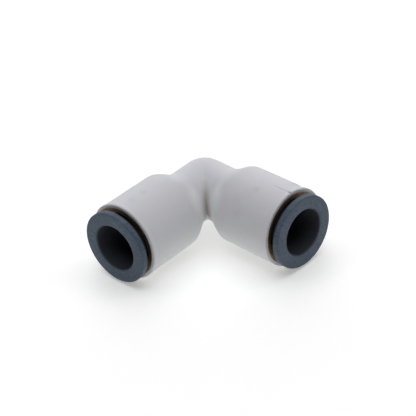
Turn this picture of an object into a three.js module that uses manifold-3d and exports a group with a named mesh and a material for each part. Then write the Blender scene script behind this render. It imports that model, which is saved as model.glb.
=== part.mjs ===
// A push-in union elbow for 12 mm tube: a moulded body with two equal barrels at 90 degrees and, in each
// barrel, a seal, a spacer ring, a toothed grip ring in a collet, a brass guide collar and a release button.
//
// Millimetres, +Z up. The elbow lies on its barrels: port a opens towards -Y and port b towards +X.
// The origin is under the middle of the whole outline, on the surface that the elbow lies on.
import * as THREE from "three";
import { mergeVertices } from "three/addons/utils/BufferGeometryUtils.js";
import Module from "manifold-3d";

const wasm = await Module();
wasm.setup();

// Driving dimensions. A station is a distance along a port from the point where the two port axes cross.
const TUBE_RADIUS = 6;
const SOCKET_RADIUS = TUBE_RADIUS + 0.15;
const PASSAGE_RADIUS = 4.6;
const NECK_RADIUS = 7.3;
const BARREL_RADIUS = 10.15; // where the shoulder ends
const MOUTH_RADIUS = 10.35; // the mould's draft widens the barrel towards its mouth
const LIP_RADIUS = 10.5;
const CHAMBER_RADIUS = 8.25;
const COLLAR_BORE_RADIUS = 9.4;
const FLANGE_RADIUS = 9.8;

const SHOULDER_START = 6.5;
const SHOULDER_END = 13.5;
const TUBE_STOP = 10;
const CHAMBER_START = 15;
const COLLAR_BORE_START = 19.3;
const LIP_START = 28.6;
const MOUTH = 30;
const BUTTON_FACE = 33.5;

const FLANGE_THICKNESS = 1.7;
const RELEASE_TRAVEL = 1.5;
const FIT = 0.1; // clearance around a piece that is pressed or dropped into place
const PLAY = 0.2; // clearance around a piece that moves
const TOOTH_COUNT = 12;
const COLLET_SLOTS = 8;
const BUTTON_SLOTS = 3;

const BODY_SEGMENTS = 40;
const RING_SEGMENTS = 32;

const COLOURS = {
  body: { color: 0xd4d4d8, roughness: 0.55, metalness: 0 },
  button: { color: 0x55606b, roughness: 0.5, metalness: 0 },
  collet: { color: 0x2c2d30, roughness: 0.5, metalness: 0 },
  spacer: { color: 0xe6e1d2, roughness: 0.5, metalness: 0 },
  seal: { color: 0x1a1a1b, roughness: 0.75, metalness: 0 },
  brass: { color: 0xa5793f, roughness: 0.35, metalness: 1 },
  steel: { color: 0xb9bcc0, roughness: 0.3, metalness: 1 },
};

// Points on an arc in the plane of a profile; 0 degrees points outwards along the port, 90 away from its axis.
function arc(station, radius, size, from, to, steps = 3) {
  const points = [];
  for (let i = 0; i <= steps; i++) {
    const angle = THREE.MathUtils.degToRad(from + ((to - from) * i) / steps);
    points.push([station + size * Math.cos(angle), radius + size * Math.sin(angle)]);
  }
  return points;
}

// A solid of revolution from [station, radius] pairs, which run round the section anticlockwise with
// the stations to the right and the radii upwards: a closed section, or one that starts and ends on the
// axis. The port's axis is the geometry's own +Y.
function turned(profile, segments = RING_SEGMENTS) {
  const closed = profile[0][1] > 0 ? [...profile, profile[0]] : profile;
  const points = closed.map(([station, radius]) => new THREE.Vector2(radius, station));
  return new THREE.LatheGeometry(points.reverse(), segments);
}

function solidOf(geometry) {
  const bare = geometry.clone();
  bare.deleteAttribute("normal");
  bare.deleteAttribute("uv");
  const merged = mergeVertices(bare, 1e-4);
  return new wasm.Manifold(
    new wasm.Mesh({
      numProp: 3,
      vertProperties: merged.attributes.position.array,
      triVerts: new Uint32Array(merged.index.array),
    }),
  );
}

function geometryOf(solid) {
  const mesh = solid.getMesh();
  const geometry = new THREE.BufferGeometry();
  geometry.setAttribute("position", new THREE.BufferAttribute(mesh.vertProperties, 3));
  geometry.setIndex(new THREE.BufferAttribute(mesh.triVerts, 1));
  geometry.computeVertexNormals();
  return geometry;
}

// Radial slots through a turned piece, from station start to station end, evenly spaced about the port's axis.
function slotted(geometry, { count, width, start, end, inner, outer, turn = 0 }) {
  let solid = solidOf(geometry);
  for (let i = 0; i < count; i++) {
    const slot = new THREE.BoxGeometry(width, end - start, outer - inner);
    slot.translate(0, (start + end) / 2, (inner + outer) / 2);
    slot.rotateY(THREE.MathUtils.degToRad(turn + (360 * i) / count));
    solid = solid.subtract(solidOf(slot));
  }
  return geometryOf(solid);
}

// A quarter turn lays the port's axis, the geometry's +Y, along +X; a half turn lays it along -Y.
const PORTS = {
  a: new THREE.Matrix4().makeRotationZ(Math.PI),
  b: new THREE.Matrix4().makeRotationZ(-Math.PI / 2),
};

function bodyGeometry() {
  const shoulder = new THREE.CubicBezierCurve(
    new THREE.Vector2(SHOULDER_START, NECK_RADIUS),
    new THREE.Vector2(SHOULDER_START + 2.7, NECK_RADIUS),
    new THREE.Vector2(SHOULDER_END - 1.9, BARREL_RADIUS),
    new THREE.Vector2(SHOULDER_END, BARREL_RADIUS),
  );
  const lipRound = 0.4;
  const outside = [
    [MOUTH, 0],
    ...arc(MOUTH - lipRound, LIP_RADIUS - lipRound, lipRound, 0, 90),
    [LIP_START + 0.4, LIP_RADIUS],
    [LIP_START, MOUTH_RADIUS],
    ...shoulder.getPoints(8).reverse().map((p) => [p.x, p.y]),
    [0, NECK_RADIUS],
    [0, 0],
  ];
  const inside = [
    [MOUTH + 1, 0],
    [MOUTH + 1, COLLAR_BORE_RADIUS],
    [COLLAR_BORE_START, COLLAR_BORE_RADIUS],
    [COLLAR_BORE_START, CHAMBER_RADIUS],
    [CHAMBER_START, CHAMBER_RADIUS],
    [CHAMBER_START, SOCKET_RADIUS],
    [TUBE_STOP, SOCKET_RADIUS],
    [TUBE_STOP, PASSAGE_RADIUS],
    [0, PASSAGE_RADIUS],
    [0, 0],
  ];
  const bend = (radius) => solidOf(new THREE.SphereGeometry(radius, BODY_SEGMENTS, BODY_SEGMENTS / 2));
  let walls = bend(NECK_RADIUS);
  let hollow = bend(PASSAGE_RADIUS);
  for (const lay of Object.values(PORTS)) {
    walls = walls.add(solidOf(turned(outside, BODY_SEGMENTS).applyMatrix4(lay)));
    hollow = hollow.add(solidOf(turned(inside, BODY_SEGMENTS).applyMatrix4(lay)));
  }
  return geometryOf(walls.subtract(hollow));
}

// A lip seal: a heel that fills the chamber's outer wall, and a lip that leans on the tube.
function sealGeometry() {
  const start = CHAMBER_START + PLAY;
  const outer = CHAMBER_RADIUS - FIT;
  return turned([
    [start, 6.6],
    [start + 0.7, 6.4],
    [start + 1.2, 5.8],
    [start + 1.6, 5.75],
    [start + 2.2, 6.35],
    [start + 3, 6.8],
    [start + 3, outer],
    [start, outer],
  ]);
}

// The spacer's rim lies between the end of the collar's bore and the collar.
function spacerGeometry() {
  const rimStart = COLLAR_BORE_START + FIT;
  return turned([
    [18.5, 6.3],
    [rimStart + 0.4, 6.3],
    [rimStart + 0.4, COLLAR_BORE_RADIUS - 0.15],
    [rimStart, COLLAR_BORE_RADIUS - 0.15],
    [rimStart, CHAMBER_RADIUS - FIT],
    [18.5, CHAMBER_RADIUS - FIT],
  ]);
}

// The collar's bore narrows outwards, so a pull on the tube wedges the collet shut. Its front turns
// inwards, in front of the collet.
const COLLAR = {
  start: 19.9,
  end: 29.8,
  wideRadius: 8.75,
  taperStart: 20.6,
  taperEnd: 22.6,
  throatRadius: 7.75,
  throatEnd: 24.2,
  frontRadius: 8.6,
  rimStart: 28.9,
  rimRadius: 8,
};

function collarGeometry() {
  const outer = COLLAR_BORE_RADIUS - FIT;
  return turned([
    [COLLAR.start, COLLAR.wideRadius],
    [COLLAR.taperStart, COLLAR.wideRadius],
    [COLLAR.taperEnd, COLLAR.throatRadius],
    [COLLAR.throatEnd, COLLAR.throatRadius],
    [COLLAR.throatEnd, COLLAR.frontRadius],
    [COLLAR.rimStart, COLLAR.frontRadius],
    [COLLAR.rimStart, COLLAR.rimRadius],
    [COLLAR.end - 0.2, COLLAR.rimRadius],
    [COLLAR.end, COLLAR.rimRadius + 0.2],
    [COLLAR.end, outer - 0.1],
    [COLLAR.end - 0.1, outer],
    [COLLAR.start, outer],
  ]);
}

// The button's sleeve has outward barbs, held in a groove of the collet that is longer by the travel.
const NOSE = 22.8;
const BARB_START = 27.2;
const BARB_END = BARB_START + 0.6;
const SLEEVE_RADIUS = 6.75;
const BARB_RADIUS = 7.45;
const GROOVE = {
  start: BARB_START - RELEASE_TRAVEL - FIT,
  end: BARB_END + FIT,
  radius: BARB_RADIUS + PLAY,
};

function colletGeometry() {
  const lipEnd = GROOVE.end + 0.7;
  const headStart = 20.5;
  const sleeve = turned([
    [headStart, 7.35],
    [22.9, 7.35],
    [22.9, SLEEVE_RADIUS + PLAY],
    [GROOVE.start, SLEEVE_RADIUS + PLAY],
    [GROOVE.start, GROOVE.radius],
    [GROOVE.end, GROOVE.radius],
    [GROOVE.end, BARB_RADIUS - PLAY],
    [lipEnd, BARB_RADIUS - PLAY],
    [lipEnd, COLLAR.frontRadius - PLAY],
    [COLLAR.throatEnd + 0.3, COLLAR.frontRadius - PLAY],
    [COLLAR.throatEnd + 0.3, COLLAR.throatRadius - PLAY],
    [COLLAR.taperEnd, COLLAR.throatRadius - PLAY],
    [headStart, 8.55],
  ]);
  return slotted(sleeve, {
    count: COLLET_SLOTS,
    width: 0.7,
    start: headStart - 1,
    end: COLLAR.throatEnd + 1,
    inner: 5,
    outer: 10,
  });
}

// A thin band with teeth that lean inwards and away from the mouth. One full slot lets it open.
function gripGeometry() {
  const bandEnd = 22.7;
  const band = turned([
    [20.25, 5.95],
    [20.5, 5.85],
    [21.15, 6.87],
    [bandEnd, 6.87],
    [bandEnd, 7.15],
    [20.95, 7.15],
  ]);
  const toothed = slotted(band, {
    count: TOOTH_COUNT,
    width: 0.6,
    start: 19,
    end: 21.5,
    inner: 4,
    outer: 9,
    turn: 15,
  });
  return slotted(toothed, { count: 1, width: 0.6, start: 19, end: 24, inner: 4, outer: 9, turn: 15 });
}

function buttonGeometry() {
  const rim = 0.3;
  const backRim = 0.15;
  const entry = 0.55;
  const flangeBack = BUTTON_FACE - FLANGE_THICKNESS;
  const rootEnd = BARB_END + 1.1;
  const rootRadius = BARB_RADIUS - 2 * PLAY;
  const sleeve = turned([
    [NOSE, SOCKET_RADIUS],
    ...arc(BUTTON_FACE - entry, SOCKET_RADIUS + entry, entry, 270, 360),
    ...arc(BUTTON_FACE - rim, FLANGE_RADIUS - rim, rim, 0, 90),
    ...arc(flangeBack + backRim, FLANGE_RADIUS - backRim, backRim, 90, 180),
    [flangeBack, rootRadius],
    [rootEnd, rootRadius],
    [rootEnd, SLEEVE_RADIUS],
    [BARB_END, SLEEVE_RADIUS],
    [BARB_END, BARB_RADIUS],
    [BARB_START + 0.3, BARB_RADIUS],
    [BARB_START, SLEEVE_RADIUS],
    [NOSE + 0.4, SLEEVE_RADIUS],
    [NOSE, 6.45],
  ]);
  return slotted(sleeve, {
    count: BUTTON_SLOTS,
    width: 1,
    start: NOSE - 1,
    end: rootEnd - 0.5,
    inner: 5,
    outer: 9,
    turn: 45,
  });
}

function piece(name, geometry, look) {
  const mesh = new THREE.Mesh(geometry, new THREE.MeshStandardMaterial(COLOURS[look]));
  mesh.name = name;
  return mesh;
}

// The elbow's own group has its origin where the port axes cross; each port's group is turned to its port.
const elbow = new THREE.Group();
elbow.add(piece("elbow_body", bodyGeometry(), "body"));
for (const [letter, lay] of Object.entries(PORTS)) {
  const port = new THREE.Group();
  port.applyMatrix4(lay);
  port.add(
    piece(`tube_seal_${letter}`, sealGeometry(), "seal"),
    piece(`spacer_ring_${letter}`, spacerGeometry(), "spacer"),
    piece(`grip_ring_${letter}`, gripGeometry(), "steel"),
    piece(`collet_${letter}`, colletGeometry(), "collet"),
    piece(`guide_collar_${letter}`, collarGeometry(), "brass"),
    piece(`release_button_${letter}`, buttonGeometry(), "button"),
  );
  elbow.add(port);
}
const cornerToMiddle = (BUTTON_FACE - LIP_RADIUS) / 2;
elbow.position.set(-cornerToMiddle, cornerToMiddle, LIP_RADIUS);

const group = new THREE.Group();
group.add(elbow);

export default group;
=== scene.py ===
"""A push-in union elbow for 12 mm tube: a white body with a blue-grey release button at each mouth.

The shapes are built in millimetres on the two port axes, then laid in the frame. A station is a
distance along a port from the point where the axes cross. Each port's inner side faces the other
port.
"""

import math

import bmesh
import bpy
import numpy as np
from mathutils import Matrix, Vector


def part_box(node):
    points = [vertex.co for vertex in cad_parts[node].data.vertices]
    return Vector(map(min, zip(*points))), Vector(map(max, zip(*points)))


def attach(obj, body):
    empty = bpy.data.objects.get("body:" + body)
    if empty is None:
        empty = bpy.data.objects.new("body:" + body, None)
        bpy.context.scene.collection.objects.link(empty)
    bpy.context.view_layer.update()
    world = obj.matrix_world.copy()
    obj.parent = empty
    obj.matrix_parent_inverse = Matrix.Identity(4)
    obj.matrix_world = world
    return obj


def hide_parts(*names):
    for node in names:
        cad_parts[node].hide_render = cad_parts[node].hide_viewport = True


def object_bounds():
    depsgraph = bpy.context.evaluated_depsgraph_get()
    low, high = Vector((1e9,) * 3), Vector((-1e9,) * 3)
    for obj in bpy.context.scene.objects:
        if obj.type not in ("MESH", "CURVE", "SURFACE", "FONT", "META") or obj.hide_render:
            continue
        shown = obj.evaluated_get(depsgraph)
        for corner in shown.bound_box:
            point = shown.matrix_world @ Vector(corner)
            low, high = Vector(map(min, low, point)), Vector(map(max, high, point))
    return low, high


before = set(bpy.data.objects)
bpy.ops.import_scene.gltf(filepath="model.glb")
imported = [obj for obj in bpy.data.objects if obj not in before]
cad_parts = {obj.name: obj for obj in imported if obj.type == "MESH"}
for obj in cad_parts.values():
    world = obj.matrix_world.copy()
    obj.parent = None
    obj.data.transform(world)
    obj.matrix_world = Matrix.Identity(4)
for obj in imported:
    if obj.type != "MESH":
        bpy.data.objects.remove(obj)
cad_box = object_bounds()

MM = 0.001

# ------------------------------------------------------------ sizes, from the frame where it can

body_low, body_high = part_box("elbow_body")
button_low, button_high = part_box("release_button_a")
other_low, other_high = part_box("release_button_b")
collar_low, collar_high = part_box("guide_collar_a")

CORNER = Vector((
    (button_low.x + button_high.x) / 2,
    (other_low.y + other_high.y) / 2,
    (button_low.z + button_high.z) / 2,
))
BUTTON_FACE = (CORNER.y - button_low.y) / MM
FLANGE_RADIUS = (button_high.x - button_low.x) / 2 / MM
MOUTH = (CORNER.y - body_low.y) / MM
LIP_RADIUS = (body_high.z - body_low.z) / 2 / MM
COLLAR_RADIUS = (collar_high.x - collar_low.x) / 2 / MM

SOCKET_RADIUS = 6.15
PASSAGE_RADIUS = 4.6
NECK_RADIUS = 7.3
BARREL_RADIUS = 10.15
MOUTH_RADIUS = 10.35
CHAMBER_RADIUS = 8.25
COLLAR_BORE_RADIUS = COLLAR_RADIUS + 0.1
SHOULDER_START = 6.5
SHOULDER_END = 13.5
TUBE_STOP = 10
CHAMBER_START = 15
COLLAR_BORE_START = 19.3
LIP_START = 28.6

# The bend's cross-sections turn about an upright line this far out along both ports.
PIVOT = 9.0
FARTHEST_REACH = 14
REACH_STEPS = 277
HALVINGS = 30
CREASE_BLEND = 0.4
PASSAGE_BLEND = 0.6
SEAM_ANGLE = math.radians(-0.95)
ROUND_SEGMENTS = 144
SHARP_ANGLE = math.radians(32)


# ------------------------------------------------------------ mesh helpers

class Port:
    """One of the two ports: where a station, a height and a sideways distance lie in the frame."""

    def __init__(self, letter, out, inner):
        self.letter = letter
        self.out = Vector(out)
        self.inner = Vector(inner)

    def matrix(self):
        """From (inner side, up, station) in millimetres to the frame in metres."""
        up = Vector((0, 0, 1))
        turn = Matrix((self.inner, up, self.out)).transposed().to_4x4()
        return Matrix.Translation(CORNER) @ turn @ Matrix.Scale(MM, 4)


PORTS = [Port("a", (0, -1, 0), (1, 0, 0)), Port("b", (1, 0, 0), (0, -1, 0))]


def section(corners, steps=6):
    """A closed outline through (station, radius, fillet) corners, each rounded by its fillet."""
    points = []
    for i, (station, radius, fillet) in enumerate(corners):
        here = Vector((station, radius))
        if not fillet:
            points.append(here)
            continue
        to_last = (Vector(corners[i - 1][:2]) - here).normalized()
        to_next = (Vector(corners[(i + 1) % len(corners)][:2]) - here).normalized()
        half = to_last.angle(to_next) / 2
        start = here + to_last * (fillet / math.tan(half))
        end = here + to_next * (fillet / math.tan(half))
        centre = here + (to_last + to_next).normalized() * (fillet / math.sin(half))
        sweep = (start - centre).angle_signed(end - centre)
        for step in range(steps + 1):
            turn = Matrix.Rotation(-sweep * step / steps, 2)
            points.append(centre + turn @ (start - centre))
    return points


def finished(mesh, name):
    """An object with its faces outwards, smooth but for sharp edges where the surface turns."""
    edit = bmesh.new()
    edit.from_mesh(mesh)
    bmesh.ops.recalc_face_normals(edit, faces=edit.faces)
    for face in edit.faces:
        face.smooth = True
    for edge in edit.edges:
        edge.smooth = edge.calc_face_angle(0) < SHARP_ANGLE
    edit.to_mesh(mesh)
    edit.free()
    piece = bpy.data.objects.new(name, mesh)
    bpy.context.scene.collection.objects.link(piece)
    return piece


def loops_mesh(loops, name):
    """A closed ring of equal loops, each an array of points, joined by quads."""
    rings, around = len(loops), len(loops[0])
    mesh = bpy.data.meshes.new(name)
    faces = []
    for i in range(rings):
        j = (i + 1) % rings
        for a in range(around):
            b = (a + 1) % around
            faces.append((i * around + a, i * around + b, j * around + b, j * around + a))
    mesh.from_pydata(np.concatenate(loops).tolist(), [], faces)
    mesh.validate()
    return mesh


def turned(outline, port, name, segments=ROUND_SEGMENTS):
    """A ring whose cross-section is the outline, turned about the port's axis."""
    angles = np.linspace(0, 2 * math.pi, segments, endpoint=False)
    loops = [
        np.stack([p[1] * np.sin(angles), p[1] * np.cos(angles), np.full(segments, p[0])], 1)
        for p in outline
    ]
    mesh = loops_mesh(loops, name)
    mesh.transform(port.matrix())
    return mesh


def face_outwards(mesh):
    edit = bmesh.new()
    edit.from_mesh(mesh)
    bmesh.ops.recalc_face_normals(edit, faces=edit.faces)
    edit.to_mesh(mesh)
    edit.free()


def slot_blocks(port, name, count, width, stations, radii, first):
    """Blocks the size of the slots, evenly spaced about the port's axis."""
    (start, end), (inner, outer) = stations, radii
    size = Matrix.Diagonal((width, outer - inner, end - start, 1))
    place = Matrix.Translation((0, (inner + outer) / 2, (start + end) / 2))
    edit = bmesh.new()
    for i in range(count):
        turn = Matrix.Rotation(math.radians(first + 360 * i / count), 4, "Z")
        bmesh.ops.create_cube(edit, size=1, matrix=turn @ place @ size)
    bmesh.ops.transform(edit, matrix=port.matrix(), verts=edit.verts)
    bmesh.ops.recalc_face_normals(edit, faces=edit.faces)
    mesh = bpy.data.meshes.new(name + "_cutter")
    edit.to_mesh(mesh)
    edit.free()
    return mesh


def slotted(mesh, port, name, count, width, stations, radii, first=0.0):
    """Cuts radial slots through a ring, each over the given span of stations and of radii."""
    cutter_mesh = slot_blocks(port, name, count, width, stations, radii, first)
    face_outwards(mesh)
    ring = bpy.data.objects.new(name + "_ring", mesh)
    cutter = bpy.data.objects.new(name + "_cutter", cutter_mesh)
    for thing in (ring, cutter):
        bpy.context.scene.collection.objects.link(thing)
    cut = ring.modifiers.new("slots", "BOOLEAN")
    cut.operation = "DIFFERENCE"
    cut.solver = "EXACT"
    cut.object = cutter
    evaluated = ring.evaluated_get(bpy.context.evaluated_depsgraph_get())
    result = bpy.data.meshes.new_from_object(evaluated)
    result.name = name
    for thing in (ring, cutter):
        bpy.data.objects.remove(thing)
    bpy.data.meshes.remove(cutter_mesh)
    return result


# ------------------------------------------------------------ the body

def bezier_profile():
    """Stations and radii along the shoulder's curve, from the neck up to the barrel."""
    t = np.linspace(0, 1, 400)[:, None]
    a, b, c, d = (np.array(p, float) for p in (
        (SHOULDER_START, NECK_RADIUS),
        (SHOULDER_START + 2.7, NECK_RADIUS),
        (SHOULDER_END - 1.9, BARREL_RADIUS),
        (SHOULDER_END, BARREL_RADIUS),
    ))
    rest = 1 - t
    curve = rest ** 3 * a + 3 * rest ** 2 * t * b + 3 * rest * t ** 2 * c + t ** 3 * d
    return curve[:, 0], curve[:, 1]


SHOULDER = bezier_profile()


def outer_radius(station):
    """The body's outer radius at a station, without the lip at its mouth."""
    draft = (MOUTH_RADIUS - BARREL_RADIUS) / (LIP_START - SHOULDER_END)
    barrel = BARREL_RADIUS + draft * (station - SHOULDER_END)
    return np.where(station < SHOULDER_END, np.interp(station, *SHOULDER), barrel)


def passage_radius(station):
    return np.full(np.shape(station), PASSAGE_RADIUS)


def arm_distance(points, along, radius_at):
    """Distance outside one arm of the bend, and its outward direction. The arm ends in a ball."""
    flat = points.copy()
    flat[:, along] = np.minimum(flat[:, along], 0)
    length = np.linalg.norm(flat, axis=1)
    distance = length - radius_at(np.maximum(points[:, along], 0))
    return distance, flat / np.maximum(length, 1e-9)[:, None]


def outside_body(points, radius_at, blend):
    """Distance outside both arms, with the crease where they meet at an angle softened."""
    a, toward_a = arm_distance(points, 0, radius_at)
    b, toward_b = arm_distance(points, 1, radius_at)
    width = blend * (1 - (toward_a * toward_b).sum(1)) + 1e-6
    return np.minimum(a, b) - np.maximum(width - np.abs(a - b), 0) ** 2 / (4 * width)


def cast(centre, directions, radius_at, blend):
    """Where rays from a point inside the bend first reach its surface."""
    reach = np.linspace(0.2, FARTHEST_REACH, REACH_STEPS)
    count = len(directions)
    steps = centre + directions[:, None, :] * reach[None, :, None]
    values = outside_body(steps.reshape(-1, 3), radius_at, blend).reshape(count, -1)
    first = np.argmax(values > 0, axis=1)
    low, high = reach[first - 1], reach[first]
    for _ in range(HALVINGS):
        middle = (low + high) / 2
        out = outside_body(centre + directions * middle[:, None], radius_at, blend) > 0
        low, high = np.where(out, low, middle), np.where(out, middle, high)
    return centre + directions * low[:, None]


def around_angles():
    """Angles about a port, 0 upwards, with extra ones for the fine seam along the top."""
    even = np.linspace(0, 2 * math.pi, ROUND_SEGMENTS, endpoint=False)
    fine = SEAM_ANGLE + np.radians([-1.5, -1.05, -0.7, -0.35, 0, 0.35, 0.7, 1.05])
    return np.sort(np.concatenate([even, fine % (2 * math.pi)]))


ANGLES = around_angles()


def bend_loop(centre, lateral, radius_at, blend):
    """One loop of the bend, in the plane of up and the lateral, as (along a, along b, up)."""
    up = np.array([0.0, 0.0, 1.0])
    level = np.array([*lateral, 0.0])
    directions = np.cos(ANGLES)[:, None] * up + np.sin(ANGLES)[:, None] * level
    return cast(np.array([*centre, 0.0]), directions, radius_at, blend)


def bend_loops(radius_at, blend, planes=41):
    """Loops from port a round to port b, closer together near the crease."""
    loops = []
    for x in np.linspace(-1, 1, planes):
        turn = math.radians(45 + 45 * np.sign(x) * abs(x) ** 1.35)
        lateral = (math.sin(turn), math.cos(turn))
        centre = (PIVOT - PIVOT * lateral[0], PIVOT - PIVOT * lateral[1])
        loops.append(bend_loop(centre, lateral, radius_at, blend))
    return loops


def arm_loop(letter, station, radii):
    """A loop of given radii about one port's axis, as (along a, along b, up)."""
    up = radii * np.cos(ANGLES)
    side = radii * np.sin(ANGLES)
    ahead = np.full(len(ANGLES), float(station))
    return np.stack([ahead, side, up] if letter == "a" else [side, ahead, up], 1)


def bell(distance, width):
    """1 at no distance, falling smoothly to nearly 0 at twice the width."""
    return np.exp(-((distance / width) ** 2))


def barrel_marks(letter, station):
    """Small marks near the mouth of port b: a fine seam on top, a nick at its end and a dent."""
    if letter == "a":
        return np.zeros(len(ANGLES))
    angle = (ANGLES + math.pi) % (2 * math.pi) - math.pi
    across = (angle - SEAM_ANGLE) * MOUTH_RADIUS
    seam = -0.09 * bell(across, 0.16) * np.clip((station - 23.5) / 1.5, 0, 1)
    nick = -0.2 * bell(across, 0.3) * np.clip((station - 28.7) / 0.4, 0, 1)
    dent = -0.45 * bell(station - 27.3, 0.9) * bell(np.degrees(angle) + 45, 20)
    return seam + nick + dent


def body_outer_arm(letter):
    """Loops of one arm's outside, from the bend to the lip's front."""
    stations = np.concatenate([
        np.linspace(PIVOT, SHOULDER_END + 1, 26)[1:],
        np.linspace(SHOULDER_END + 2, 24, 8),
        np.linspace(24.5, LIP_START, 18),
    ])
    loops = [arm_loop(letter, s, outer_radius(s) + barrel_marks(letter, s)) for s in stations]
    lip = [
        (LIP_START + 0.25, MOUTH_RADIUS + 0.03),
        (LIP_START + 0.45, LIP_RADIUS - 0.03),
        (LIP_START + 0.7, LIP_RADIUS),
    ]
    rounding = 0.4
    for step in range(9):
        turn = math.radians(90 - 90 * step / 8)
        lip.append((
            MOUTH - rounding + rounding * math.cos(turn),
            LIP_RADIUS - rounding + rounding * math.sin(turn),
        ))
    loops += [arm_loop(letter, s, r + barrel_marks(letter, s)) for s, r in lip]
    return loops


def body_inner_arm(letter):
    """Loops of one arm's inside, from the mouth in to the bend."""
    corners = [
        (MOUTH, COLLAR_BORE_RADIUS + 0.15),
        (MOUTH - 0.15, COLLAR_BORE_RADIUS),
        (COLLAR_BORE_START, COLLAR_BORE_RADIUS),
        (COLLAR_BORE_START, CHAMBER_RADIUS + 0.1),
        (COLLAR_BORE_START - 0.1, CHAMBER_RADIUS),
        (CHAMBER_START, CHAMBER_RADIUS),
        (CHAMBER_START, SOCKET_RADIUS + 0.3),
        (CHAMBER_START - 0.3, SOCKET_RADIUS),
        (TUBE_STOP + 0.3, SOCKET_RADIUS),
        (TUBE_STOP, SOCKET_RADIUS - 0.3),
        (TUBE_STOP, PASSAGE_RADIUS + 0.3),
        (TUBE_STOP - 0.3, PASSAGE_RADIUS),
    ]
    return [arm_loop(letter, s, np.full(len(ANGLES), r)) for s, r in corners]


def body_mesh():
    loops = body_outer_arm("a")[::-1]
    loops += bend_loops(outer_radius, CREASE_BLEND)
    loops += body_outer_arm("b")
    loops += body_inner_arm("b")
    loops += bend_loops(passage_radius, PASSAGE_BLEND)[::-1]
    loops += body_inner_arm("a")[::-1]
    mesh = loops_mesh(loops, "body_shell")
    lay = Matrix(((0, 1, 0, 0), (-1, 0, 0, 0), (0, 0, 1, 0), (0, 0, 0, 1)))
    mesh.transform(Matrix.Translation(CORNER) @ lay @ Matrix.Scale(MM, 4))
    return mesh


# ------------------------------------------------------------ the pieces in each port

NOSE = 22.8
BARB_START = 27.2
BARB_END = 27.8
SLEEVE_RADIUS = 6.75
BARB_RADIUS = 7.45
THROAT_RADIUS = 7.75
COLLAR_FRONT_RADIUS = 8.6
COLLAR_RIM_RADIUS = 8.0
FLANGE_BACK = BUTTON_FACE - 1.7


def button_mesh(port, name):
    outline = section([
        (NOSE, SOCKET_RADIUS, 0.1),
        (BUTTON_FACE, SOCKET_RADIUS, 0.55),
        (BUTTON_FACE, FLANGE_RADIUS, 0.3),
        (FLANGE_BACK, FLANGE_RADIUS, 0.15),
        (FLANGE_BACK, 7.05, 0.25),
        (28.9, 7.05, 0.1),
        (28.9, SLEEVE_RADIUS, 0.05),
        (BARB_END, SLEEVE_RADIUS, 0.05),
        (BARB_END, BARB_RADIUS, 0.08),
        (BARB_START + 0.3, BARB_RADIUS, 0.1),
        (BARB_START, SLEEVE_RADIUS, 0.1),
        (NOSE + 0.4, SLEEVE_RADIUS, 0.1),
        (NOSE, 6.45, 0.1),
    ])
    ring = turned(outline, port, name)
    return slotted(
        ring, port, name, count=3, width=1.0, stations=(NOSE - 1, 28.4), radii=(5, 9), first=-45,
    )


def collar_mesh(port, name):
    outline = section([
        (19.9, 8.75, 0.1),
        (20.6, 8.75, 0.2),
        (22.6, THROAT_RADIUS, 0.2),
        (24.2, THROAT_RADIUS, 0.12),
        (24.2, COLLAR_FRONT_RADIUS, 0.1),
        (28.9, COLLAR_FRONT_RADIUS, 0.1),
        (28.9, COLLAR_RIM_RADIUS, 0.1),
        (29.8, COLLAR_RIM_RADIUS, 0.25),
        (29.8, COLLAR_RADIUS, 0.12),
        (19.9, COLLAR_RADIUS, 0.15),
    ])
    return turned(outline, port, name)


def collet_mesh(port, name):
    outline = section([
        (20.5, 7.35, 0.1),
        (22.9, 7.35, 0),
        (22.9, 6.95, 0.1),
        (25.6, 6.95, 0.08),
        (25.6, 7.65, 0),
        (27.9, 7.65, 0),
        (27.9, 7.25, 0.08),
        (28.6, 7.25, 0.15),
        (28.6, 8.4, 0.2),
        (24.5, 8.4, 0.15),
        (24.5, 7.55, 0.1),
        (22.6, 7.55, 0.3),
        (20.5, 8.55, 0.15),
    ], steps=4)
    ring = turned(outline, port, name, segments=96)
    return slotted(
        ring, port, name, count=8, width=0.7, stations=(19.5, 25.2), radii=(5, 10),
    )


def grip_mesh(port, name):
    outline = section([
        (20.25, 5.95, 0),
        (20.5, 5.85, 0),
        (21.15, 6.87, 0.15),
        (22.7, 6.87, 0.05),
        (22.7, 7.15, 0.05),
        (20.95, 7.15, 0.2),
    ], steps=4)
    ring = turned(outline, port, name, segments=120)
    first = 15 if port.letter == "a" else -15
    # Twelve short slots part the teeth, and one of them runs on right through the ring.
    for count, end in ((12, 21.5), (1, 24)):
        ring = slotted(
            ring, port, name, count=count, width=0.6, stations=(19, end), radii=(4, 9), first=first,
        )
    return ring


def spacer_mesh(port, name):
    outline = section([
        (18.5, 6.3, 0.1),
        (19.8, 6.3, 0.15),
        (19.8, 9.15, 0.05),
        (19.4, 9.15, 0.05),
        (19.4, 8.15, 0),
        (18.5, 8.15, 0.1),
    ], steps=4)
    return turned(outline, port, name, segments=96)


def seal_mesh(port, name):
    outline = section([
        (15.2, 6.6, 0.1),
        (15.9, 6.4, 0.2),
        (16.4, 5.78, 0.15),
        (16.8, 5.75, 0.15),
        (17.4, 6.35, 0.2),
        (18.2, 6.8, 0.1),
        (18.2, 8.15, 0.2),
        (15.2, 8.15, 0.2),
    ], steps=4)
    return turned(outline, port, name, segments=96)


# ------------------------------------------------------------ materials

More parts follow.
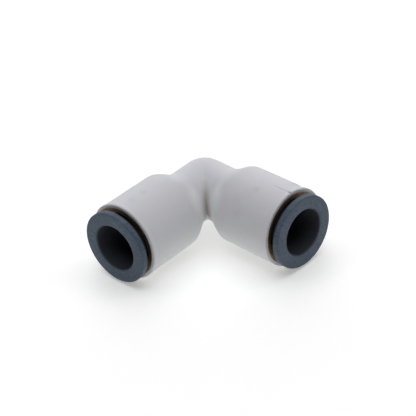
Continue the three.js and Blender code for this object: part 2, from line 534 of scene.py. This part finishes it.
class Look:
    """A node material under construction: a principled shader fed by textures in object space."""

    def __init__(self, name):
        self.material = bpy.data.materials.new(name)
        self.material.use_nodes = True
        self.nodes = self.material.node_tree.nodes
        self.links = self.material.node_tree.links
        self.shader = self.nodes["Principled BSDF"]
        self.place = self.nodes.new("ShaderNodeTexCoord").outputs["Object"]

    def noise(self, scale, detail=3.0, roughness=0.55):
        node = self.nodes.new("ShaderNodeTexNoise")
        node.inputs["Scale"].default_value = scale
        node.inputs["Detail"].default_value = detail
        node.inputs["Roughness"].default_value = roughness
        self.links.new(self.place, node.inputs["Vector"])
        return node.outputs["Fac"]

    def ramp(self, value, stops):
        node = self.nodes.new("ShaderNodeValToRGB")
        ramp = node.color_ramp
        while len(ramp.elements) < len(stops):
            ramp.elements.new(0.5)
        for element, (position, colour) in zip(ramp.elements, stops):
            element.position = position
            element.color = (*colour, 1)
        self.links.new(value, node.inputs["Fac"])
        return node.outputs["Color"]

    def spread(self, value, low, high, start=0.3, end=0.7):
        node = self.nodes.new("ShaderNodeMapRange")
        node.inputs["From Min"].default_value = start
        node.inputs["From Max"].default_value = end
        node.inputs["To Min"].default_value = low
        node.inputs["To Max"].default_value = high
        self.links.new(value, node.inputs["Value"])
        return node.outputs["Result"]

    def mix(self, factor, first, second, kind="MIX"):
        node = self.nodes.new("ShaderNodeMix")
        node.data_type = "RGBA"
        node.blend_type = kind
        sockets = {s.identifier: s for s in node.inputs}
        for key, value in (("Factor_Float", factor), ("A_Color", first), ("B_Color", second)):
            if isinstance(value, bpy.types.NodeSocket):
                self.links.new(value, sockets[key])
            elif key == "Factor_Float":
                sockets[key].default_value = value
            else:
                sockets[key].default_value = (*value, 1)
        return {s.identifier: s for s in node.outputs}["Result_Color"]

    def near(self, point, radius):
        """1 at a point of the object, falling to 0 at a radius from it."""
        node = self.nodes.new("ShaderNodeVectorMath")
        node.operation = "DISTANCE"
        node.inputs[1].default_value = point
        self.links.new(self.place, node.inputs[0])
        return self.spread(node.outputs["Value"], 1, 0, 0, radius)

    def maths(self, operation, *values):
        node = self.nodes.new("ShaderNodeMath")
        node.operation = operation
        for socket, value in zip(node.inputs, values):
            if isinstance(value, bpy.types.NodeSocket):
                self.links.new(value, socket)
            else:
                socket.default_value = value
        return node.outputs["Value"]

    def multiply(self, first, second):
        return self.maths("MULTIPLY", first, second)

    def bump(self, height, distance, strength=1.0):
        node = self.nodes.new("ShaderNodeBump")
        node.inputs["Distance"].default_value = distance
        node.inputs["Strength"].default_value = strength
        self.links.new(height, node.inputs["Height"])
        last = self.shader.inputs["Normal"].links
        if last:
            self.links.new(last[0].from_socket, node.inputs["Normal"])
        self.links.new(node.outputs["Normal"], self.shader.inputs["Normal"])

    def from_corner(self):
        """The three distances of a point from where the port axes cross."""
        split = self.nodes.new("ShaderNodeSeparateXYZ")
        self.links.new(self.place, split.inputs[0])
        return [self.maths("SUBTRACT", *pair) for pair in zip(split.outputs, CORNER)]


def painted_crease_shade(look):
    """Painted shade: how much the upright crease between the necks is darkened, most of it low
    down.
    """
    x, y, z = look.from_corner()
    # Across the crease: along port b less along port a. Out: along both, into the inner corner.
    across = look.maths("ADD", x, y)
    out = look.maths("SUBTRACT", x, y)
    near = look.spread(look.maths("ABSOLUTE", across), 1, 0, 0, 0.0017)
    inside = look.multiply(
        look.spread(out, 0, 1, 0.008, 0.0135),
        look.spread(z, 0.2, 1, -0.0033, -0.0010),
    )
    patchy = look.spread(look.noise(500, detail=3), 0.75, 1, 0.35, 0.65)
    return look.multiply(look.multiply(near, inside), look.multiply(patchy, 0.54))


def painted_shoulder_light(look):
    """1 on the inner sides of the shoulders, where painted light makes the wall paler."""
    x, y, z = look.from_corner()
    masks = []
    inward = look.multiply(y, -1.0)
    for along, aside in ((inward, x), (x, inward)):
        rising = look.spread(along, 0, 1, 0.0076, 0.0100)
        falling = look.spread(along, 1, 0, 0.0118, 0.0140)
        facing = look.spread(aside, 0, 1, 0.0010, 0.0040)
        within = look.spread(aside, 1, 0, 0.0092, 0.0105)
        masks.append(look.multiply(look.multiply(rising, falling), look.multiply(facing, within)))
    low = look.spread(z, 1, 0, 0.0062, 0.0086)
    return look.multiply(look.maths("MAXIMUM", *masks), low)


def body_look():
    look = Look("white_moulded_plastic")
    cloud = look.noise(90, detail=4)
    base = look.ramp(cloud, [(0.3, (0.672, 0.678, 0.695)), (0.7, (0.69, 0.692, 0.704))])
    # Painted light: the inner sides of the shoulders are made paler.
    base = look.mix(painted_shoulder_light(look), base, (0.795, 0.80, 0.80))
    specks = look.spread(look.noise(1400, detail=2), 0, 1, 0.72, 0.78)
    base = look.mix(look.multiply(specks, 0.2), base, (0.42, 0.40, 0.37))
    smudges = look.noise(420, detail=3)
    for point, reach, strength in SMUDGES:
        patchy = look.spread(smudges, strength / 2, strength, 0.4, 0.6)
        base = look.mix(look.multiply(look.near(point, reach), patchy), base, (0.40, 0.40, 0.42))
    # The seam along the top of port b is made darker, most of all in the nick at its end.
    base = look.mix(seam_darkening(look), base, (0.30, 0.27, 0.25))
    # Painted shade: the crease between the necks is darkened towards a warm brown.
    base = look.mix(painted_crease_shade(look), base, (0.22, 0.18, 0.07))
    look.links.new(base, look.shader.inputs["Base Color"])
    look.links.new(look.spread(look.noise(260), 0.42, 0.5), look.shader.inputs["Roughness"])
    look.shader.inputs["Specular IOR Level"].default_value = 0.4
    look.shader.inputs["Subsurface Weight"].default_value = 0.25
    look.shader.inputs["Subsurface Radius"].default_value = (0.0012, 0.001, 0.0009)
    look.shader.inputs["Subsurface Scale"].default_value = 0.6
    look.bump(look.noise(2600, detail=2), 0.000012, 0.5)
    look.bump(look.noise(120, detail=2), 0.00012, 0.35)
    return look.material


def seam_darkening(look):
    """How much darker the seam along the top of port b is made, most of all in the nick at its end.
    """
    x, y, z = look.from_corner()
    aside = look.maths("ABSOLUTE", look.maths("ADD", y, MOUTH_RADIUS * MM * math.sin(SEAM_ANGLE)))
    on_line = look.spread(aside, 1, 0, 0.00008, 0.0004)
    on_top = look.spread(z, 0, 1, 0.0085, 0.0095)
    in_seam = look.spread(x, 0, 0.16, 0.0235, 0.0255)
    in_nick = look.spread(x, 0, 0.45, 0.0285, 0.0292)
    return look.multiply(look.multiply(on_line, on_top), look.maths("ADD", in_seam, in_nick))


def port_place(look):
    """Where a point of a button lies in its port: station, distance off the axis and angle."""
    x, y, z = look.from_corner()
    inward = look.multiply(y, -1.0)
    station = look.maths("MAXIMUM", x, inward)
    aside = look.maths("MINIMUM", x, inward)
    squares = look.maths("ADD", look.multiply(aside, aside), look.multiply(z, z))
    return station, look.maths("SQRT", squares), look.maths("ARCTAN2", z, aside)


def radial_marks(look, off_axis, angle):
    """Fine drag marks that run outwards over a button's face, in patches."""
    spot = look.nodes.new("ShaderNodeCombineXYZ")
    look.links.new(look.multiply(angle, 26.0), spot.inputs[0])
    look.links.new(look.multiply(off_axis, 450.0), spot.inputs[1])
    streaks = look.nodes.new("ShaderNodeTexNoise")
    streaks.inputs["Scale"].default_value = 1.0
    streaks.inputs["Detail"].default_value = 2.0
    look.links.new(spot.outputs["Vector"], streaks.inputs["Vector"])
    patches = look.spread(look.noise(170, detail=2), 0.2, 1, 0.45, 0.6)
    return look.multiply(look.spread(streaks.outputs["Fac"], 0, 1, 0.45, 0.65), patches)


def button_look():
    look = Look("blue_grey_moulded_plastic")
    cloud = look.noise(160, detail=4)
    base = look.ramp(cloud, [(0.3, (0.051, 0.075, 0.110)), (0.7, (0.066, 0.094, 0.134))])
    grain = look.spread(look.noise(1500, detail=4), 0, 0.7, 0.45, 0.68)
    base = look.mix(grain, base, (0.10, 0.13, 0.165))
    station, off_axis, angle = port_place(look)
    marks = radial_marks(look, off_axis, angle)
    base = look.mix(look.multiply(marks, 0.5), base, (0.115, 0.145, 0.18))
    # Painted shade: the bore is made dark grey, and the stem just behind the flange darker and
    # browner still, as painted shadow.
    bore_shade = look.spread(off_axis, 0.85, 0, 0.0062, 0.0065)
    base = look.mix(bore_shade, base, (0.038, 0.040, 0.044))
    stem_shadow = look.spread(station, 0.9, 0, FLANGE_BACK * MM + 0.00005, FLANGE_BACK * MM + 0.0003)
    outside = look.spread(off_axis, 0, 1, 0.0062, 0.0065)
    base = look.mix(look.multiply(stem_shadow, outside), base, (0.034, 0.030, 0.025))
    look.links.new(base, look.shader.inputs["Base Color"])
    look.links.new(look.spread(look.noise(900), 0.45, 0.58), look.shader.inputs["Roughness"])
    look.shader.inputs["Specular IOR Level"].default_value = 0.2
    look.bump(look.noise(3000, detail=3), 0.00002, 0.5)
    return look.material


def brass_look(name, dark, light):
    look = Look(name)
    # Random tone of the brass; in the darker copy for port a it also carries painted shade.
    tarnish_and_shade = look.ramp(look.noise(500, detail=5), [(0.3, dark), (0.7, light)])
    look.links.new(tarnish_and_shade, look.shader.inputs["Base Color"])
    look.shader.inputs["Metallic"].default_value = 1
    look.links.new(look.spread(look.noise(1200), 0.35, 0.5), look.shader.inputs["Roughness"])
    look.bump(look.noise(2500, detail=2), 0.00001, 0.6)
    return look.material


def plastic_look(name, dark, light, roughness=(0.4, 0.5)):
    look = Look(name)
    base = look.ramp(look.noise(300, detail=3), [(0.3, dark), (0.7, light)])
    look.links.new(base, look.shader.inputs["Base Color"])
    look.links.new(look.spread(look.noise(700), *roughness), look.shader.inputs["Roughness"])
    look.bump(look.noise(2400, detail=2), 0.00001, 0.5)
    return look.material


def steel_look():
    look = Look("stamped_stainless")
    cloud = look.noise(600, detail=4)
    base = look.ramp(cloud, [(0.3, (0.5, 0.5, 0.51)), (0.7, (0.64, 0.65, 0.66))])
    look.links.new(base, look.shader.inputs["Base Color"])
    look.shader.inputs["Metallic"].default_value = 1
    look.links.new(look.spread(look.noise(1500), 0.22, 0.38), look.shader.inputs["Roughness"])
    look.bump(look.noise(3000, detail=2), 0.000008, 0.6)
    return look.material


def floor_look():
    look = Look("pale_paper_floor")
    base = look.ramp(look.noise(6, detail=2), [(0.3, (0.9, 0.9, 0.9)), (0.7, (0.92, 0.92, 0.92))])
    look.links.new(base, look.shader.inputs["Base Color"])
    look.shader.inputs["Roughness"].default_value = 0.9
    look.shader.inputs["Specular IOR Level"].default_value = 0.1
    look.shader.inputs["Emission Color"].default_value = (1, 1.01, 0.96, 1)
    look.shader.inputs["Emission Strength"].default_value = 0.34
    return look.material


def on_barrel(port, station, angle):
    """A point on a barrel's outside, its angle measured from the top to the inner side."""
    radius = float(outer_radius(np.float64(station)))
    turn = math.radians(angle)
    local = Vector((radius * math.sin(turn), radius * math.cos(turn), station))
    return tuple(port.matrix() @ local)


# Faint grey marks from handling: where each lies, how far it reaches and how strong it is.
SMUDGES = [
    (on_barrel(PORTS[0], 21.7, -2), 0.0014, 0.22),
    (on_barrel(PORTS[0], 25.6, -1), 0.0014, 0.25),
    (on_barrel(PORTS[1], 21.3, 18), 0.0014, 0.25),
    (on_barrel(PORTS[1], 20.1, 30), 0.0020, 0.12),
    (on_barrel(PORTS[1], 17.6, 43), 0.0022, 0.12),
    (on_barrel(PORTS[1], 19.4, 59), 0.0024, 0.14),
]


# ------------------------------------------------------------ the object

def add_piece(mesh, name, body, node, material):
    piece = finished(mesh, name)
    piece.data.materials.clear()
    piece.data.materials.append(material)
    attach(piece, body)
    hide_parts(node)


def build_object():
    add_piece(body_mesh(), "body_shell", "fitting_body", "elbow_body", body_look())
    button, steel = button_look(), steel_look()
    # The collar of port a gets a darker copy of the brass than port b, as painted shade.
    brass = {
        "a": brass_look("brass_with_painted_shade", (0.30, 0.22, 0.14), (0.50, 0.38, 0.26)),
        "b": brass_look("turned_brass", (0.40, 0.27, 0.16), (0.68, 0.47, 0.30)),
    }
    black = plastic_look("black_moulded_plastic", (0.012, 0.012, 0.014), (0.02, 0.02, 0.022))
    cream = plastic_look("cream_moulded_plastic", (0.62, 0.58, 0.49), (0.7, 0.66, 0.57))
    rubber = plastic_look("black_rubber", (0.010, 0.010, 0.010), (0.018, 0.018, 0.018), (0.55, 0.7))
    for port in PORTS:
        kinds = [
            ("seal_lip", seal_mesh, "fitting_body", "tube_seal", "seal", rubber),
            ("spacer", spacer_mesh, "fitting_body", "spacer_ring", "spacer", cream),
            ("collar", collar_mesh, "fitting_body", "guide_collar", "collar_brass",
             brass[port.letter]),
            ("collet_sleeve", collet_mesh, "gripper", "collet", "collet", black),
            ("grip_teeth", grip_mesh, "gripper", "grip_ring", "grip_steel", steel),
            ("button", button_mesh, "button", "release_button", "button", button),
        ]
        for kind, make, body, node, slot, material in kinds:
            name = f"{kind}_{port.letter}"
            rides_on = body if body == "fitting_body" else f"{body}_{port.letter}"
            add_piece(make(port, name), name, rides_on, f"{node}_{port.letter}", material)


# ------------------------------------------------------------ floor, light and camera

def build_floor():
    mesh = bpy.data.meshes.new("floor")
    reach = 3.0
    level = cad_box[0].z
    corners = [(x * reach, y * reach, level) for x, y in ((-1, -1), (1, -1), (1, 1), (-1, 1))]
    mesh.from_pydata(corners, [], [(0, 1, 2, 3)])
    floor = bpy.data.objects.new("floor", mesh)
    bpy.context.scene.collection.objects.link(floor)
    mesh.materials.append(floor_look())


LAMP_COLOUR = (0.965, 0.96, 1)


def area_light(name, place, size, power):
    data = bpy.data.lights.new(name, "AREA")
    data.shape = "RECTANGLE"
    data.size, data.size_y = size
    data.energy = power
    data.color = LAMP_COLOUR
    light = bpy.data.objects.new(name, data)
    bpy.context.scene.collection.objects.link(light)
    light.location = CORNER + Vector(place)
    light.rotation_euler = (-Vector(place)).to_track_quat("-Z", "Y").to_euler()


def build_light():
    world = bpy.data.worlds.new("studio")
    bpy.context.scene.world = world
    world.use_nodes = True
    background = world.node_tree.nodes["Background"]
    background.inputs["Color"].default_value = (0.98, 0.99, 1.0, 1)
    background.inputs["Strength"].default_value = 0.01
    area_light("softbox_above", (0, 0, 1.4), (1.6, 1.6), 16.5)
    area_light("softbox_behind", (-0.9, 0.9, 1.0), (1.2, 1.2), 4.5)
    area_light("softbox_left", (-1.0, -1.0, 0.9), (1.2, 1.2), 0.5)
    area_light("softbox_right", (1.0, 1.0, 0.9), (1.2, 1.2), 2.6)
    area_light("strip_behind", (-1.1, 1.1, 0.35), (1.2, 0.6), 3.8)
    bpy.context.scene.view_settings.view_transform = "Standard"


# A long lens that looks down into the bend from between the ports, rolled a little and aimed just
# off the corner.
CAMERA_AZIMUTH = 45.33
CAMERA_ELEVATION = 35.27
CAMERA_ROLL = -4.97
CAMERA_DISTANCE = 1.015
CAMERA_ASIDE = 0.000768
CAMERA_ABOVE = -0.005572
CAMERA_LENS = 345.2
CAMERA_SENSOR = 36.0


def build_camera():
    azimuth, elevation, roll = (
        math.radians(v) for v in (CAMERA_AZIMUTH, CAMERA_ELEVATION, CAMERA_ROLL)
    )
    back = Vector((
        math.sin(azimuth) * math.cos(elevation),
        -math.cos(azimuth) * math.cos(elevation),
        math.sin(elevation),
    ))
    level = Vector((math.cos(azimuth), math.sin(azimuth), 0))
    upright = back.cross(level)
    right = math.cos(roll) * level + math.sin(roll) * upright
    up = -math.sin(roll) * level + math.cos(roll) * upright
    data = bpy.data.cameras.new("camera")
    data.lens = CAMERA_LENS
    data.sensor_width = CAMERA_SENSOR
    data.clip_start = 0.01
    data.clip_end = 50
    camera = bpy.data.objects.new("camera", data)
    bpy.context.scene.collection.objects.link(camera)
    place = Matrix((right, up, back)).transposed().to_4x4()
    place.translation = CORNER + back * CAMERA_DISTANCE + right * CAMERA_ASIDE + up * CAMERA_ABOVE
    camera.matrix_world = place
    bpy.context.scene.camera = camera


build_camera()
build_object()
build_floor()
build_light()

bpy.context.view_layer.update()
